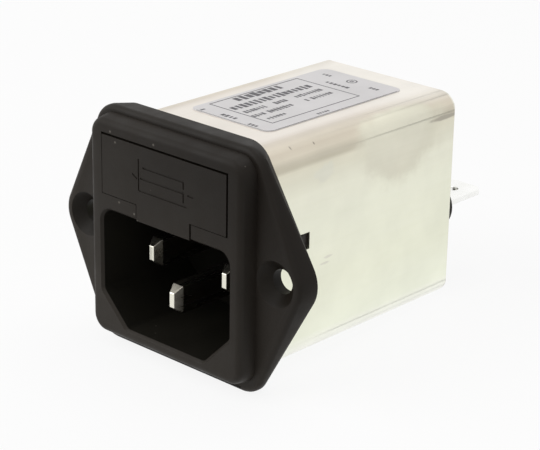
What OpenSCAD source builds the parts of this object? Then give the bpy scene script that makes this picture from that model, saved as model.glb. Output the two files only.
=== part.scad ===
// Mains inlet filter: a three-pin inlet with a fuse drawer, a choke and
// capacitors, closed in a plated steel case with blade terminals behind.
// X runs across, Y runs back from the panel face at y = 0, Z is up.
// The origin lies midway between the two panel screws, on the panel face.

/* [Flange] */
// Distance between the two panel screws
screw_pitch = 36; // [36:0.5:40]
// Height of the flange
flange_h = 34.4; // [34.4:0.2:38]
// Thickness of the flange
flange_t = 3; // [2.8:0.1:3.4]
// Radius of each ear at the front, about its screw hole
front_ear_r = 4.4; // [4.2:0.1:4.6]
// Radius of each ear at the panel
ear_r = 4.7; // [4.4:0.1:5]
// Slant of the ear edges from upright at the front, in degrees
front_slant = 25.4; // [24:0.2:28]
// Slant of the ear edges from upright at the panel, in degrees
ear_slant = 31.8; // [29:0.2:32]
// Radius of the four blunt corners
flange_corner_r = 4; // [3:0.5:4.5]
// Diameter of each screw hole
screw_hole_d = 3.4; // [3.2:0.1:4.2]
// Diameter of each countersink at the front
sink_d = 6.4; // [6:0.1:6.8]
// Roundness of the flange's front edge
flange_rim = 0.8; // [0.4:0.1:1]

/* [Bezel] */
// Width of the bezel at its front
bezel_w = 28.8; // [28.4:0.2:29.2]
// Height of the bezel at its front
bezel_h = 31.4; // [31:0.2:32]
// Height of the bezel's middle above the screws
bezel_z = 0.3; // [0:0.1:0.4]
// How far the bezel stands out of the flange
bezel_t = 2.5; // [2.2:0.1:2.8]
// Radius of the bezel's corners
bezel_corner_r = 2.4; // [1.5:0.1:3]
// Roundness of the bezel's front edge
bezel_rim = 1; // [0.5:0.1:1.2]
// How much each side of the bezel widens towards the flange
bezel_draft = 0.3; // [0:0.1:0.4]

/* [Inlet recess] */
// Thickness of the housing's wall beside the recess
shroud_wall = 0.65; // [0.55:0.05:0.75]
// Height of the recess
recess_h = 16.7; // [16.4:0.1:16.9]
// Height of the recess's upper face
recess_top = 3.1; // [3:0.1:3.4]
// Depth of the recess from the bezel's front
recess_depth = 16.5; // [16:0.1:17]
// Size of the two lower chamfers
recess_chamfer = 4.7; // [4:0.1:5]
// Radius of the two upper corners
recess_corner_r = 1.8; // [1:0.1:2.2]
// Radius of the corners at both ends of each chamfer
recess_chamfer_r = 1; // [0.4:0.1:1.5]
// Width of the softened lip
recess_lip = 0.35; // [0.2:0.05:0.5]
// Thickness of the recess floor
floor_t = 1.6; // [1.2:0.1:2]

/* [Pins] */
// Distance between the line and neutral pins
pin_pitch = 14; // [13.8:0.1:14.2]
// Height of the line and neutral pins
pin_z = -3.35; // [-3.6:0.05:-3.2]
// How far the earth pin lies below the other two
earth_drop = 4.05; // [4:0.05:4.2]
// Thickness of a pin
pin_t = 2; // [1.8:0.1:2.2]
// Height of a pin's section
pin_h = 4; // [3.8:0.1:4.1]
// How far the line and neutral tips lie behind the bezel's front
pin_inset = 4.4; // [4:0.1:5]
// How far the earth tip lies behind the bezel's front
earth_inset = 1.5; // [1:0.1:2]
// Length of the bevelled tip
pin_bevel = 1.3; // [0.8:0.1:1.5]
// Thickness left flat at the tip
pin_tip_t = 0.8; // [0.6:0.1:1.4]
// Height left flat at the tip
pin_tip_h = 2.1; // [1.8:0.1:3]

/* [Fuse drawer] */
// How far the drawer's opening stands in from the recess's sides
drawer_inset = 0.15; // [0.1:0.05:0.3]
// Height of the drawer opening's lower edge
drawer_z0 = 5.35; // [5.2:0.05:5.5]
// Height of the drawer opening's upper edge
drawer_z1 = 14.15; // [14:0.05:14.2]
// Thickness of the drawer's front
drawer_front_t = 2.2; // [2:0.1:2.4]
// Width of the tongue that hooks over the recess
tongue_w = 10.1; // [8:0.1:12]
// Thickness of the tray's walls
tray_wall = 1.1; // [0.9:0.1:1.2]
// Depth of the fuse's middle behind the panel face
fuse_y = 9.4; // [9:0.1:9.6]
// Play between the fuse and each end of the tray
fuse_play = 0.25; // [0.1:0.05:0.5]
// Diameter of the fuse's end caps
fuse_d = 5.2; // [5:0.1:5.2]

/* [Case] */
// Width of the case
case_w = 26.4; // [26.4:0.1:27]
// Height of the case
case_h = 31.1; // [31.1:0.1:32]
// Height of the case's middle above the screws
case_z = -0.1; // [-0.1:0.1:0]
// Length of the case behind the panel face
case_l = 39.7; // [39.5:0.1:45]
// Radius of the four long edges
case_r = 3; // [2.5:0.1:3.2]
// Thickness of the sheet
case_t = 0.4; // [0.3:0.05:0.5]
// Roundness of the rear edge
case_rim = 0.4; // [0.3:0.1:0.6]

/* [Label] */
// Width of the label
label_w = 15.1; // [12:0.1:16]
// Length of the label
label_l = 28.2; // [24:0.1:30]
// Place of the label's middle across the case
label_x = -0.55; // [-1:0.05:1]
// Place of the label's middle along the case
label_y = 21.3; // [20:0.05:23]
// Thickness of the label
label_t = 0.1; // [0.05:0.01:0.15]
// Radius of the label's corners
label_r = 1.4; // [0.5:0.1:2]

/* [Rear terminals] */
// Gap between a bushing's shoulder and the side of the case
bushing_side = 0.1; // [0.1:0.05:0.3]
// Height of the load terminals
tab_z = -2.1; // [-2.2:0.1:-1.9]
// Width of a blade
tab_w = 6.3; // [4.8:0.1:6.3]
// Thickness of a blade
tab_t = 0.8; // [0.5:0.1:0.8]
// How far a blade stands out of the case
tab_l = 9.7; // [8:0.1:12]
// Diameter of the hole in a blade
tab_hole_d = 1.7; // [1.4:0.1:2]
// Distance of that hole from the blade's tip
tab_hole_inset = 3.4; // [3:0.1:4]
// Diameter of the insulating bushing outside the case
bushing_d = 7.6; // [7.4:0.1:7.7]
// How far the bushing's middle lies below its blade
bushing_drop = 0.6; // [0.4:0.1:0.8]
// How far the bushing stands out of the case
bushing_l = 1.5; // [1:0.1:2]
// Height of the earth blade
earth_tab_z = -5.6; // [-5.8:0.1:-5.4]
// Height of the earth rivet
rivet_z = -9.5; // [-10:0.1:-9]
// Diameter of the rivet's shank
rivet_d = 2.4; // [2:0.1:2.6]

/* [Filter parts] */
// Height of the choke's middle
choke_z = 5.3; // [5.3:0.1:5.5]
// Outer diameter of the choke's core
core_d = 16; // [15:0.5:16]
// Inner diameter of the choke's core
core_hole_d = 8.8; // [8.6:0.1:9]
// Thickness of the choke's core
core_t = 8; // [7:0.5:8]
// Turns in each winding
turns = 8; // [5:1:8]
// Thickness of the winding wire
wire_t = 1.0; // [0.9:0.05:1.05]
// Thickness of the circuit board
board_t = 1.6; // [1.2:0.1:1.6]
// Gap between each earth capacitor and the sleeve
y_cap_gap = 0.15; // [0.15:0.05:0.5]
// Depth of the capacitor across the line
x_cap_l = 12; // [10:0.5:13]
// Gap between the resistor on that capacitor and the choke
choke_gap = 1.3; // [0.8:0.1:2]
// Diameter of the two earth capacitors
y_cap_d = 7; // [6:0.5:7]
// Thickness of the two earth capacitors
y_cap_t = 3.4; // [3:0.1:3.4]
// Diameter of the leads between inlet and board
lead_d = 1.2; // [0.8:0.1:1.2]

/* [Hidden] */
$fn = 64;

// Cutters reach this far past the faces that they open.
over = 0.05;
// Sliding and assembly gaps. The drawer's front leans to one side and down
// in its opening, so that its gap is wider at the right and along the top.
tray_gap = 0.15;
drawer_groove = 0.2;
drawer_lean = 0.12;
seat_gap = 0.05;
// Room behind the drawer for its contacts, and behind the board for its joints.
contact_room = 1.2;
board_room = 2.5;

// Faces along Y, from the front to the back.
front_y = -flange_t - bezel_t;
floor_y = front_y + recess_depth;
shroud_y = floor_y + floor_t;
tray_y = 14;
chamber_y = tray_y + contact_room;
chamber_wall = 1.2;
housing_y = chamber_y + chamber_wall;
case_floor_y = case_l - case_t;
board_back_y = case_floor_y - board_room;
board_y = board_back_y - board_t;

// Inside of the case.
inner_w = case_w - 2 * case_t;
inner_h = case_h - 2 * case_t;
inner_r = case_r - case_t;
inner_floor = case_z - inner_h / 2;
inner_roof = case_z + inner_h / 2;

// The recess and the drawer fill the housing's width.
recess_w = inner_w - 2 * (seat_gap + shroud_wall);
drawer_w = recess_w - 2 * drawer_inset;

// Outline of the flange: each blunt corner touches the slanted edge and the top.
function flange_discs(ear, slant) =
  let(
    z = flange_h / 2 - flange_corner_r,
    reach = screw_pitch / 2 * cos(slant) + ear - flange_corner_r,
    x = (reach - z * sin(slant)) / cos(slant)
  ) [
    for (s = [-1, 1]) [s * screw_pitch / 2, 0, ear],
    for (s = [-1, 1], t = [-1, 1]) [s * x, t * z, flange_corner_r]
  ];
flange_land = 0.4;
bezel_discs = [
  for (s = [-1, 1], t = [-1, 1]) [
    s * (bezel_w / 2 - bezel_corner_r),
    bezel_z + t * (bezel_h / 2 - bezel_corner_r),
    bezel_corner_r
  ]
];

// Latch noses of the housing and the windows that they fill.
latch_y0 = 5.6;
latch_y1 = 8.9;
latch_z0 = 0.3;
latch_z1 = 2.7;
latch_proud = 0.3;
latch_lead = 1.2;

// Fuse and drawer.
pin_x = pin_pitch / 2;
earth_z = pin_z - earth_drop;
tail_l = 1.2;
pin_tail_y = housing_y + tail_l;
drawer_step_y = front_y + drawer_front_t + seat_gap;
drawer_step = 0.45;
tray_z0 = drawer_z0 + drawer_step + tray_gap;
tray_z1 = drawer_z1 - drawer_step - tray_gap;
tray_w = drawer_w - 2 * (drawer_step + tray_gap);
fuse_l = tray_w - 2 * (tray_wall + fuse_play);
cap_l = 5;
cap_t = 0.3;
fuse_z = tray_z0 + tray_wall + cap_t + fuse_d / 2;
glass_d = fuse_d - 2 * cap_t;
glass_t = 0.5;
contact_x = (fuse_l - cap_l) / 2;
contact_w = 3.2;
contact_t = 0.4;
contact_tail_y = housing_y + tail_l + 1;
saddle_t = 1.6;
saddle_gap = 0.6;
saddle_x = fuse_l / 2 - cap_l - saddle_gap - saddle_t / 2;

// Conductors behind the inlet.
link_t = 0.6;
link_side = 0.6;
link_end = 1;
link_x0 = -max(contact_x + contact_w / 2, pin_x + pin_t / 2) - link_side;
link_x1 = -min(contact_x - contact_w / 2, pin_x - pin_t / 2) + link_side;
lead_side = 1.5;
lead_x = inner_w / 2 - lead_side;
lead_z = fuse_z + contact_t / 2 + lead_d / 2;
lead_end_y = board_back_y - 0.4;
strap_w = 5;
strap_t = 0.4;
sleeve_t = 0.25;
sleeve_floor = inner_floor + strap_t;

// Parts on the board.
winding_y0 = board_y - core_t - 2 * wire_t;
divider_t = 0.8;
cap_lead_d = 0.7;
x_cap_lead_in = 2;
resistor_d = 2.1;
x_cap_z0 = sleeve_floor + sleeve_t;
x_cap_h = choke_z - core_d / 2 - choke_gap - resistor_d - x_cap_z0;
x_cap_w = inner_w - 2 * (sleeve_t + y_cap_gap + y_cap_t);
x_cap_lead_x = x_cap_w / 2 - x_cap_lead_in;
x_cap_lead_z = x_cap_z0 + x_cap_h / 2;
y_cap_z = x_cap_z0 + y_cap_d / 2 + 1.7;
y_cap_x = x_cap_w / 2 + y_cap_t / 2;
y_cap_lead_dz = 2.4;
resistor_l = 6.4;
resistor_back = 4.5;
resistor_y = board_y - resistor_back;
resistor_z = x_cap_z0 + x_cap_h + resistor_d / 2;
resistor_lead_x = 5;
resistor_lead_d = 0.6;

// Terminals.
tab_tail_w = 2.4;
tab_chamfer = 1;
bushing_shoulder_d = 8.2;
tab_x = (inner_w - bushing_shoulder_d) / 2 - bushing_side;
bushing_z = tab_z - bushing_drop;
rivet_head_d = 4.4;
rivet_head_t = 0.8;
rivet_tail_d = 3.8;
rivet_tail_t = 0.6;
earth_foot_l = 3;
earth_foot_z0 = rivet_z - earth_foot_l;

black = "#34302c";
nickel = "#c9c4b8";
tin = "#e0e0cf";
brass = "#c8a04c";
copper = "#b5652c";

// Extrudes an outline drawn in X and Z from y0 back to y1.
module across(y0, y1) {
  translate([0, y1, 0])
    rotate([90, 0, 0])
      linear_extrude(height = y1 - y0)
        children();
}

// A cylinder along Y from y0 to y1 at x, z.
module rod_y(x, z, y0, y1, d) {
  translate([x, y0, z])
    rotate([-90, 0, 0])
      cylinder(d = d, h = y1 - y0);
}

// A rectangle with round corners, about its middle.
module round_rect(w, h, r) {
  square([w - 2 * r, h], center = true);
  square([w, h - 2 * r], center = true);
  for (s = [-1, 1], t = [-1, 1])
    translate([s * (w / 2 - r), t * (h / 2 - r)])
      circle(r = r);
}

// A box between two corners.
module span(from, to) {
  translate(from)
    cube(to - from);
}

// A disc that faces -Y at y_face with a rounded edge and widens back to y_back.
module soft_disc(x, z, r, y_face, y_back, soft, draft) {
  depth = y_back - y_face;
  translate([x, y_face, z])
    rotate([-90, 0, 0])
      rotate_extrude()
        polygon(concat(
          [[0, depth], [0, 0]],
          [for (a = [0 : 15 : 90]) [r - soft * (1 - sin(a)), soft * (1 - cos(a))]],
          [[r + draft, depth]]
        ));
}

// A plate stretched round discs [x, z, r], with a soft front edge.
module soft_plate(discs, y_face, y_back, soft, draft = 0) {
  hull()
    for (d = discs)
      soft_disc(d[0], d[1], d[2], y_face, y_back, soft, draft);
}

// Flange whose ear edges twist from the front slant to the slant at the panel.
module flange_plate() {
  hull() {
    for (d = flange_discs(front_ear_r, front_slant))
      soft_disc(d[0], d[1], d[2], -flange_t, -flange_t + flange_rim + flange_land,
        flange_rim, 0);
    for (d = flange_discs(ear_r, ear_slant))
      rod_y(d[0], d[1], -flange_land, 0, 2 * d[2]);
  }
}

// A convex outline through corners, taken clockwise, each with its own radius.
// Each arc's centre lies on the corner's bisector, and the arc meets both sides.
module rounded_outline(corners, radii) {
  n = len(corners);
  function unit(v) = v / norm(v);
  function to_next(i) = unit(corners[(i + 1) % n] - corners[i]);
  function to_last(i) = unit(corners[(i + n - 1) % n] - corners[i]);
  function half_angle(i) = acos(to_next(i) * to_last(i)) / 2;
  function reach(i) = radii[i] / tan(half_angle(i));
  polygon([
    for (i = [0 : n - 1], side = [0, 1])
      corners[i] + reach(i) * (side == 0 ? to_last(i) : to_next(i))
  ]);
  for (i = [0 : n - 1])
    translate(corners[i] + radii[i] / sin(half_angle(i)) * unit(to_next(i) + to_last(i)))
      circle(r = radii[i]);
}

// Outline of the inlet recess, wider all round by grow.
module recess_outline(grow = 0) {
  x = recess_w / 2 + grow;
  z1 = recess_top + grow;
  z0 = recess_top - recess_h - grow;
  c = recess_chamfer + grow * (2 - sqrt(2));
  upper = recess_corner_r + grow;
  lower = recess_chamfer_r + grow;
  rounded_outline(
    [[-x, z1], [x, z1], [x, z0 + c], [x - c, z0], [-x + c, z0], [-x, z0 + c]],
    [upper, upper, lower, lower, lower, lower]
  );
}

// Rounded shroud that fills the mouth of the case.
module shroud_outline() {
  translate([0, case_z])
    round_rect(inner_w - 2 * seat_gap, inner_h - 2 * seat_gap, inner_r);
}

// The opening for the drawer, with the notch for its tongue.
module drawer_pocket() {
  span([-drawer_w / 2, front_y - over, drawer_z0], [drawer_w / 2, drawer_step_y, drawer_z1]);
  span([-drawer_w / 2 + drawer_step, drawer_step_y - over, drawer_z0 + drawer_step],
    [drawer_w / 2 - drawer_step, chamber_y, drawer_z1 - drawer_step]);
  notch_w = tongue_w + 2 * drawer_groove;
  span([-notch_w / 2, front_y - over, recess_top - over],
    [notch_w / 2, drawer_step_y, drawer_z0 + over]);
}

module screw_hole(side) {
  rod_y(side * screw_pitch / 2, 0, -flange_t - over, over, screw_hole_d);
  sink_depth = (sink_d - screw_hole_d) / 2;
  translate([side * screw_pitch / 2, -flange_t - over, 0])
    rotate([-90, 0, 0])
      cylinder(d1 = sink_d + 2 * over, d2 = screw_hole_d, h = sink_depth + over);
}

// Wedge on the shroud's side that snaps into the window of the case.
module latch_nose(side) {
  root = drawer_w / 2;
  tip = case_w / 2 + latch_proud;
  y0 = latch_y0 + seat_gap;
  y1 = latch_y1 - seat_gap;
  mirror([side < 0 ? 1 : 0, 0, 0])
    translate([0, 0, latch_z0 + seat_gap])
      linear_extrude(height = latch_z1 - latch_z0 - 2 * seat_gap)
        polygon([
          [root, y0], [tip, y0], [tip, y0 + latch_lead],
          [inner_w / 2 + seat_gap, y1], [root, y1]
        ]);
}

module contact_slot(side) {
  span([side * contact_x - contact_w / 2, chamber_y - over, fuse_z - contact_t / 2],
    [side * contact_x + contact_w / 2, housing_y + over, fuse_z + contact_t / 2]);
}

// One moulding: hexagonal flange, bezel, recess, drawer chamber and latches.
module inlet_housing() {
  color(black)
    difference() {
      union() {
        flange_plate();
        soft_plate(bezel_discs, front_y, -flange_t + over, bezel_rim, bezel_draft);
        across(-over, shroud_y)
          shroud_outline();
        across(shroud_y - over, housing_y)
          intersection() {
            shroud_outline();
            translate([-case_w / 2, recess_top])
              square([case_w, case_h]);
          }
        for (s = [-1, 1])
          latch_nose(s);
      }
      across(front_y - over, floor_y)
        recess_outline();
      hull() {
        across(front_y - over, front_y)
          recess_outline(recess_lip);
        across(front_y + recess_lip, front_y + recess_lip + over)
          recess_outline();
      }
      drawer_pocket();
      for (s = [-1, 1]) {
        screw_hole(s);
        contact_slot(s);
        pin_slot(s * pin_x, pin_z);
      }
      pin_slot(0, earth_z);
    }
}

module pin_slot(x, z) {
  span([x - pin_t / 2, floor_y - over, z - pin_h / 2],
    [x + pin_t / 2, shroud_y + over, z + pin_h / 2]);
}

// Blade with a four-sided bevelled tip.
module pin(x, z, tip_y, tail_y) {
  side_in = (pin_t - pin_tip_t) / 2;
  end_in = (pin_h - pin_tip_h) / 2;
  color(nickel)
    translate([x, 0, z])
      intersection() {
        linear_extrude(height = pin_h, center = true)
          polygon([
            [-pin_t / 2, tail_y], [-pin_t / 2, tip_y + pin_bevel],
            [-pin_t / 2 + side_in, tip_y], [pin_t / 2 - side_in, tip_y],
            [pin_t / 2, tip_y + pin_bevel], [pin_t / 2, tail_y]
          ]);
        rotate([90, 0, 90])
          linear_extrude(height = pin_t, center = true)
            polygon([
              [tail_y, -pin_h / 2], [tip_y + pin_bevel, -pin_h / 2],
              [tip_y, -pin_h / 2 + end_in], [tip_y, pin_h / 2 - end_in],
              [tip_y + pin_bevel, pin_h / 2], [tail_y, pin_h / 2]
            ]);
      }
}

module line_pin() {
  pin(-pin_x, pin_z, front_y + pin_inset, pin_tail_y);
}

module neutral_pin() {
  pin(pin_x, pin_z, front_y + pin_inset, pin_tail_y);
}

module earth_pin() {
  pin(0, earth_z, front_y + earth_inset, shroud_y + strap_t + tail_l / 2);
}

// Drawer: front with its tongue, an open tray, and two saddles for the fuse.
module fuse_drawer() {
  front_w = drawer_w - 2 * drawer_groove;
  face_back_y = front_y + drawer_front_t;
  color(black)
    difference() {
      union() {
        translate([-drawer_lean, 0, -drawer_lean]) {
          span([-front_w / 2, front_y, drawer_z0 + drawer_groove],
            [front_w / 2, face_back_y, drawer_z1 - drawer_groove]);
          span([-tongue_w / 2, front_y, recess_top + drawer_lean],
            [tongue_w / 2, face_back_y, drawer_z0 + drawer_groove + over]);
        }
        span([-tray_w / 2, face_back_y - over, tray_z0], [tray_w / 2, tray_y, tray_z1]);
      }
      difference() {
        span([-tray_w / 2 + tray_wall, face_back_y + tray_wall, tray_z0 + tray_wall],
          [tray_w / 2 - tray_wall, tray_y + over, tray_z1 + over]);
        for (s = [-1, 1])
          span([s * saddle_x - saddle_t / 2, fuse_y - fuse_d / 2 - tray_wall, tray_z0],
            [s * saddle_x + saddle_t / 2, fuse_y + glass_d / 2, fuse_z]);
      }
      on_fuse()
        cylinder(d = glass_d + seat_gap, h = 2 * (saddle_x + saddle_t), center = true);
    }
}

// Places an upright shape along X at the fuse's middle.
module on_fuse() {
  translate([0, fuse_y, fuse_z])
    rotate([0, 90, 0])
      children();
}

module fuse_tube() {
  tube_l = fuse_l - 2 * cap_t;
  color("#e8f0ee")
    on_fuse()
      difference() {
        cylinder(d = glass_d, h = tube_l, center = true);
        cylinder(d = glass_d - 2 * glass_t, h = tube_l + over, center = true);
      }
}

module fuse_caps() {
  color(nickel)
    for (s = [0, 1])
      on_fuse()
        mirror([0, 0, s])
          translate([0, 0, fuse_l / 2 - cap_l])
            difference() {
              cylinder(d = fuse_d, h = cap_l);
              translate([0, 0, -over])
                cylinder(d = glass_d, h = cap_l - cap_t + over);
            }
}

module fuse_wire() {
  color(tin)
    on_fuse()
      cylinder(d = 0.3, h = fuse_l - 2 * cap_t, center = true);
}

// Bent spring that meets an end cap from behind, with a tail through the wall.
module fuse_contact(side) {
  touch_y = fuse_y + fuse_d / 2 + tray_gap;
  foot_y = chamber_y - contact_t;
  foot_h = 2.2;
  bend = contact_t / 2;
  hook_y = touch_y + 1;
  hook_h = 1.6;
  color(brass)
    translate([side * contact_x, 0, fuse_z]) {
      rotate([90, 0, 90])
        linear_extrude(height = contact_w, center = true)
          polygon([
            [chamber_y, -foot_h], [chamber_y, foot_h], [foot_y, foot_h],
            [foot_y, -foot_h + 2 * bend], [touch_y + contact_t, 0],
            [hook_y + bend, hook_h - bend], [hook_y - bend, hook_h],
            [touch_y, bend], [touch_y, -bend], [foot_y, -foot_h]
          ]);
      span([-contact_w / 2, chamber_y - over, -contact_t / 2],
        [contact_w / 2, contact_tail_y, contact_t / 2]);
    }
}

module fuse_contact_line() {
  fuse_contact(-1);
}

module fuse_contact_load() {
  fuse_contact(1);
}

// Flat link from the line pin's tail up to the fuse contact's tail.
module line_link() {
  color(brass)
    difference() {
      span([link_x0, housing_y, pin_z - pin_h / 2 - link_end],
        [link_x1, housing_y + link_t, fuse_z + contact_t / 2 + link_end]);
      span([-pin_x - pin_t / 2, housing_y - over, pin_z - pin_h / 2],
        [-pin_x + pin_t / 2, housing_y + link_t + over, pin_z + pin_h / 2]);
      span([-contact_x - contact_w / 2, housing_y - over, fuse_z - contact_t / 2],
        [-contact_x + contact_w / 2, housing_y + link_t + over, fuse_z + contact_t / 2]);
    }
}

// Wire from the fused side of the drawer to the board.
module load_lead() {
  start_x = contact_x - contact_w / 3;
  start_y = contact_tail_y - lead_d / 2;
  color("#8a3b22") {
    translate([start_x, start_y, lead_z])
      rotate([0, 90, 0])
        cylinder(d = lead_d, h = lead_x - start_x);
    translate([lead_x, start_y, lead_z])
      sphere(d = lead_d);
    rod_y(lead_x, lead_z, start_y, lead_end_y, lead_d);
  }
}

module neutral_lead() {
  color("#3b5f8a")
    rod_y(pin_x, pin_z, pin_tail_y, lead_end_y, lead_d);
}

// Strip that joins the earth pin to the case floor and to the earth rivet.
module earth_strap() {
  color(brass)
    difference() {
      union() {
        span([-strap_w / 2, shroud_y, inner_floor],
          [strap_w / 2, shroud_y + strap_t, earth_z + pin_h / 2 + link_end]);
        span([-strap_w / 2, shroud_y, inner_floor],
          [strap_w / 2, case_floor_y, inner_floor + strap_t]);
        span([-strap_w / 2, case_floor_y - strap_t, inner_floor],
          [strap_w / 2, case_floor_y, rivet_z + strap_w / 2]);
      }
      span([-pin_t / 2, shroud_y - over, earth_z - pin_h / 2],
        [pin_t / 2, shroud_y + strap_t + over, earth_z + pin_h / 2]);
      rod_y(0, rivet_z, case_floor_y - strap_t - over, case_floor_y + over, rivet_d);
    }
}

module circuit_board() {
  edge = 0.5;
  color("#9c7a3c")
    difference() {
      across(board_y, board_back_y)
        translate([0, (sleeve_floor + inner_roof) / 2])
          round_rect(inner_w - 2 * edge, inner_roof - sleeve_floor - 2 * edge, inner_r - edge);
      for (s = [-1, 1])
        span([s * tab_x - tab_tail_w / 2, board_y - over, tab_z - tab_t / 2],
          [s * tab_x + tab_tail_w / 2, board_back_y + over, tab_z + tab_t / 2]);
      rod_y(lead_x, lead_z, board_y - over, board_back_y + over, lead_d);
      rod_y(pin_x, pin_z, board_y - over, board_back_y + over, lead_d);
      cap_leads(board_y - over, board_back_y + over);
      resistor_ends(board_back_y + over);
    }
}

// All lead ends of the capacitors, between two depths.
module cap_leads(y0, y1) {
  for (s = [-1, 1])
    x_cap_lead(s, y0, y1);
  for (s = [-1, 1], t = [-1, 1])
    y_cap_lead(s, t, y0, y1);
}

module x_cap_lead(side, y0, y1) {
  rod_y(side * x_cap_lead_x, x_cap_lead_z, y0, y1, cap_lead_d);
}

module y_cap_lead(side, up, y0, y1) {
  rod_y(side * y_cap_x, y_cap_z + up * y_cap_lead_dz, y0, y1, cap_lead_d);
}

module resistor_ends(y1) {
  for (s = [-1, 1])
    rod_y(s * resistor_lead_x, resistor_z, resistor_y, y1, resistor_lead_d);
}

module choke_core() {
  color("#4c6b55")
    difference() {
      rod_y(0, choke_z, winding_y0 + wire_t, board_y - wire_t, core_d);
      rod_y(0, choke_z, winding_y0, board_y, core_hole_d);
    }
}

// Thin wall through the core's hole that keeps the two windings apart.
module choke_divider() {
  color("#e6e0cc")
    span([-divider_t / 2, winding_y0, choke_z - core_hole_d / 2 + seat_gap],
      [divider_t / 2, board_y, choke_z + core_hole_d / 2 - seat_gap]);
}

// One winding: turns fanned over one side of the core, so close that
// neighbours meet inside its hole.
module winding(side) {
  inner = core_hole_d / 2 - seat_gap;
  outer = core_d / 2 + seat_gap;
  step = 2 * atan(wire_t / 2 / (inner - wire_t / 3));
  difference() {
    translate([0, 0, choke_z])
      for (i = [0 : turns - 1])
        rotate([0, step * (i - (turns - 1) / 2) + (side < 0 ? 180 : 0), 0])
          span([inner - wire_t, winding_y0, -wire_t / 2], [outer + wire_t, board_y, wire_t / 2]);
    difference() {
      rod_y(0, choke_z, winding_y0 + wire_t, board_y - wire_t, 2 * outer);
      rod_y(0, choke_z, winding_y0, board_y, 2 * inner);
    }
  }
}

module line_winding() {
  color(copper)
    winding(1);
}

module neutral_winding() {
  color(copper)
    winding(-1);
}

module x_capacitor() {
  color("#c9b23a") {
    span([-x_cap_w / 2, board_y - x_cap_l, x_cap_z0],
      [x_cap_w / 2, board_y, x_cap_z0 + x_cap_h]);
    for (s = [-1, 1])
      x_cap_lead(s, board_y - over, board_back_y);
  }
}

module y_capacitor(side) {
  color("#3f6f9c") {
    translate([side * y_cap_x, board_y - y_cap_d / 2, y_cap_z])
      rotate([0, 90, 0])
        cylinder(d = y_cap_d, h = y_cap_t, center = true);
    for (t = [-1, 1])
      y_cap_lead(side, t, board_y - y_cap_d / 2, board_back_y);
  }
}

module y_capacitor_line() {
  y_capacitor(1);
}

module y_capacitor_neutral() {
  y_capacitor(-1);
}

// Axial resistor that lies on the large capacitor, its ends bent to the board.
module bleed_resistor() {
  color("#c8b48c") {
    translate([0, resistor_y, resistor_z])
      rotate([0, 90, 0])
        cylinder(d = resistor_d, h = resistor_l, center = true);
    translate([0, resistor_y, resistor_z])
      rotate([0, 90, 0])
        cylinder(d = resistor_lead_d, h = 2 * resistor_lead_x, center = true);
    resistor_ends(board_back_y);
  }
}

// Film sleeve between the live parts and the case.
module insulating_sleeve() {
  z_mid = (sleeve_floor + inner_roof) / 2;
  h = inner_roof - sleeve_floor;
  color("#e9e2c4")
    across(housing_y + 0.8, board_y)
      translate([0, z_mid])
        difference() {
          round_rect(inner_w, h, inner_r);
          round_rect(inner_w - 2 * sleeve_t, h - 2 * sleeve_t, inner_r - sleeve_t);
        }
}

// Outline of the case from above or beside: square in front, soft behind.
module case_profile(w) {
  translate([0, (case_l - case_rim) / 2])
    square([w, case_l - case_rim], center = true);
  translate([0, case_l / 2 + case_rim])
    round_rect(w, case_l - 2 * case_rim, case_rim);
}

// Drawn steel cup: open at the panel, closed behind, with a softened rear edge.
module case() {
  color(tin)
    difference() {
      intersection() {
        across(0, case_l)
          translate([0, case_z])
            round_rect(case_w, case_h, case_r);
        translate([0, 0, case_z - case_h / 2])
          linear_extrude(height = case_h)
            case_profile(case_w);
        translate([-case_w / 2, 0, case_z])
          rotate([90, 0, 90])
            linear_extrude(height = case_w)
              rotate(-90)
                case_profile(case_h);
      }
      across(-over, case_floor_y)
        translate([0, case_z])
          round_rect(inner_w, inner_h, inner_r);
      for (s = [-1, 1]) {
        rod_y(s * tab_x, bushing_z, case_floor_y - over, case_l + over, bushing_d + seat_gap);
        span([s > 0 ? inner_w / 2 - over : -case_w / 2 - over, latch_y0, latch_z0],
          [s > 0 ? case_w / 2 + over : -inner_w / 2 + over, latch_y1, latch_z1]);
      }
      rod_y(0, rivet_z, case_floor_y - over, case_l + over, rivet_d);
    }
}

module label() {
  color("#dedce0")
    translate([label_x, label_y, case_z + case_h / 2])
      linear_extrude(height = label_t)
        round_rect(label_w, label_l, label_r);
}

// Blade outline in X and Y: square root, clipped tip, one hole.
module blade_outline(y0, y1) {
  difference() {
    polygon([
      [-tab_w / 2, y0], [tab_w / 2, y0], [tab_w / 2, y1 - tab_chamfer],
      [tab_w / 2 - tab_chamfer, y1], [-tab_w / 2 + tab_chamfer, y1],
      [-tab_w / 2, y1 - tab_chamfer]
    ]);
    translate([0, y1 - tab_hole_inset])
      circle(d = tab_hole_d);
  }
}

module load_tab(side) {
  tail_y = board_y - tail_l / 2;
  color(nickel)
    translate([side * tab_x, 0, tab_z - tab_t / 2])
      linear_extrude(height = tab_t) {
        blade_outline(board_back_y, case_l + tab_l);
        translate([-tab_tail_w / 2, tail_y])
          square([tab_tail_w, board_back_y - tail_y + over]);
      }
}

module line_tab() {
  load_tab(-1);
}

module neutral_tab() {
  load_tab(1);
}

// Stepped insulator: a shoulder inside the case and a nose through its wall.
module bushing(side) {
  color(black)
    difference() {
      union() {
        rod_y(side * tab_x, bushing_z, board_back_y, case_floor_y, bushing_shoulder_d);
        rod_y(side * tab_x, bushing_z, case_floor_y - over, case_l + bushing_l, bushing_d);
      }
      span([side * tab_x - tab_w / 2, board_back_y - over, tab_z - tab_t / 2],
        [side * tab_x + tab_w / 2, case_l + bushing_l + over, tab_z + tab_t / 2]);
    }
}

module line_bushing() {
  bushing(-1);
}

module neutral_bushing() {
  bushing(1);
}

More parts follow.
